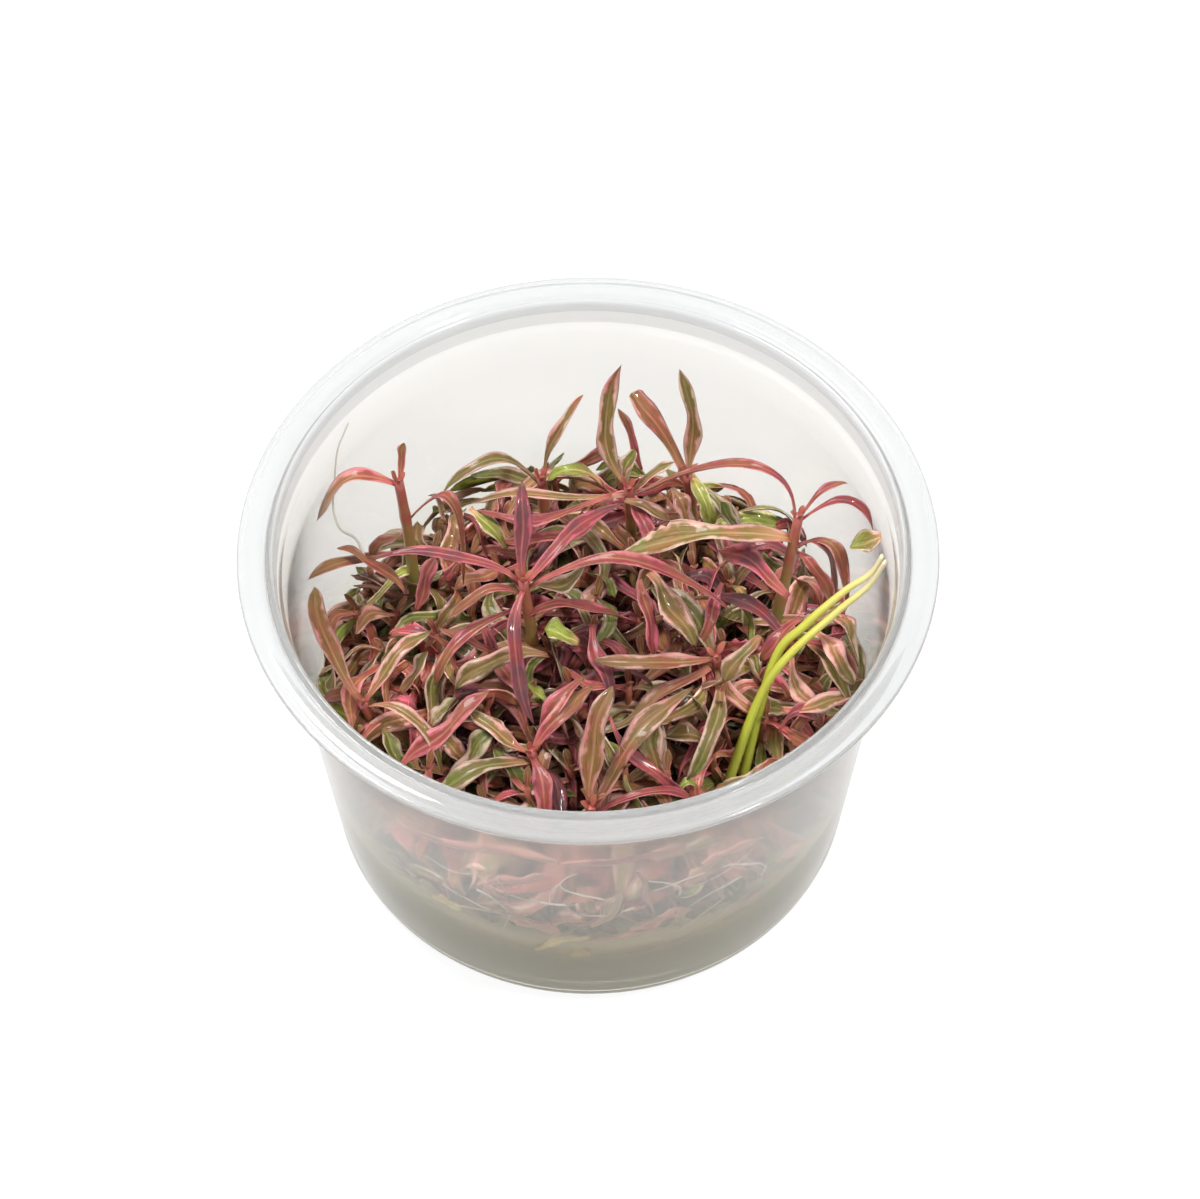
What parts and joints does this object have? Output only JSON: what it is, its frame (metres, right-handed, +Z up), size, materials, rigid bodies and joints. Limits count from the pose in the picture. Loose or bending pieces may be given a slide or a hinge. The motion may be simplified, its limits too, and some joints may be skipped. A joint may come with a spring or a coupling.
{
  "type": "tub of tissue-cultured hygrophila shoots",
  "caption": "Clear plastic tub of tissue-cultured willow-leaf hygrophila: rosy and olive shoots standing in grey agar gel",
  "frame": {"origin": "centre of the tub's flat underside, the lowest point of the whole", "axes": "+Z up through the open top, -Y towards the side the picture shows, +X to the right as the picture shows it"},
  "size_m": [0.1, 0.1, 0.0616],
  "materials": {
    "clear_plastic": "clear, slightly milky thin polypropylene",
    "gel": null,
    "stem": "satin living stem, red-brown to olive",
    "strand": "satin living strand, yellow-green",
    "leaf_thicket": "many small living leaves, red-brown and olive",
    "leaf_rose": "satin living leaf, rose to crimson",
    "leaf_plum": "satin living leaf, dark plum",
    "leaf_green": "satin living leaf, green with a rosy edge",
    "leaf_olive": "satin living leaf, olive",
    "leaf_pale": "satin living leaf, pale pink-cream",
    "leaf_amber": "satin living leaf, amber brown"
  },
  "bodies": {
    "root": {"gel": "gel", "leaf_back_front": "leaf_plum", "leaf_back_left_arch": "leaf_olive", "leaf_back_left_slim": "leaf_olive", "leaf_back_pale_left": "leaf_pale", "leaf_back_pale_right": "leaf_pale", "leaf_back_right_right": "leaf_green", "leaf_back_right_rounded": "leaf_amber", "leaf_back_right_tall": "leaf_pale", "leaf_back_tall": "leaf_olive", "leaf_centre_back_right": "leaf_rose", "leaf_centre_hanging": "leaf_plum", "leaf_centre_left_long": "leaf_rose", "leaf_centre_left_low": "leaf_plum", "leaf_centre_magenta": "leaf_rose", "leaf_centre_right": "leaf_rose", "leaf_centre_rising_back": "leaf_plum", "leaf_front_down": "leaf_plum", "leaf_front_green": "leaf_green", "leaf_front_left": "leaf_amber", "leaf_front_left_arching": "leaf_rose", "leaf_front_left_rising": "leaf_amber", "leaf_front_left_yellow": "leaf_pale", "leaf_front_magenta": "leaf_rose", "leaf_front_right_glossy": "leaf_green", "leaf_front_right_slanting": "leaf_rose", "leaf_front_right_upright": "leaf_pale", "leaf_left_arching_in": "leaf_rose", "leaf_left_arching_out": "leaf_rose", "leaf_left_low": "leaf_rose", "leaf_left_young": "leaf_rose", "leaf_right_arching_left": "leaf_rose", "leaf_right_arching_right": "leaf_rose", "leaf_right_back_left": "leaf_plum", "leaf_right_back_out": "leaf_rose", "leaf_right_back_pink": "leaf_pale", "leaf_right_front_broad": "leaf_green", "leaf_right_front_front": "leaf_green", "leaf_right_front_plum_left": "leaf_plum", "leaf_right_low_left": "leaf_green", "leaf_right_low_right": "leaf_rose", "leaf_right_young": "leaf_rose", "leaf_spoon": "leaf_pale", "stem_back": "stem", "stem_back_left": "stem", "stem_back_right": "stem", "stem_centre": "stem", "stem_front": "stem", "stem_front_left": "stem", "stem_front_right": "stem", "stem_left": "stem", "stem_right": "stem", "stem_right_back": "stem", "stem_right_front": "stem", "strand_inner": "strand", "strand_outer": "strand", "thicket": "leaf_thicket", "tub": "clear_plastic"}
  },
  "joints": []
}
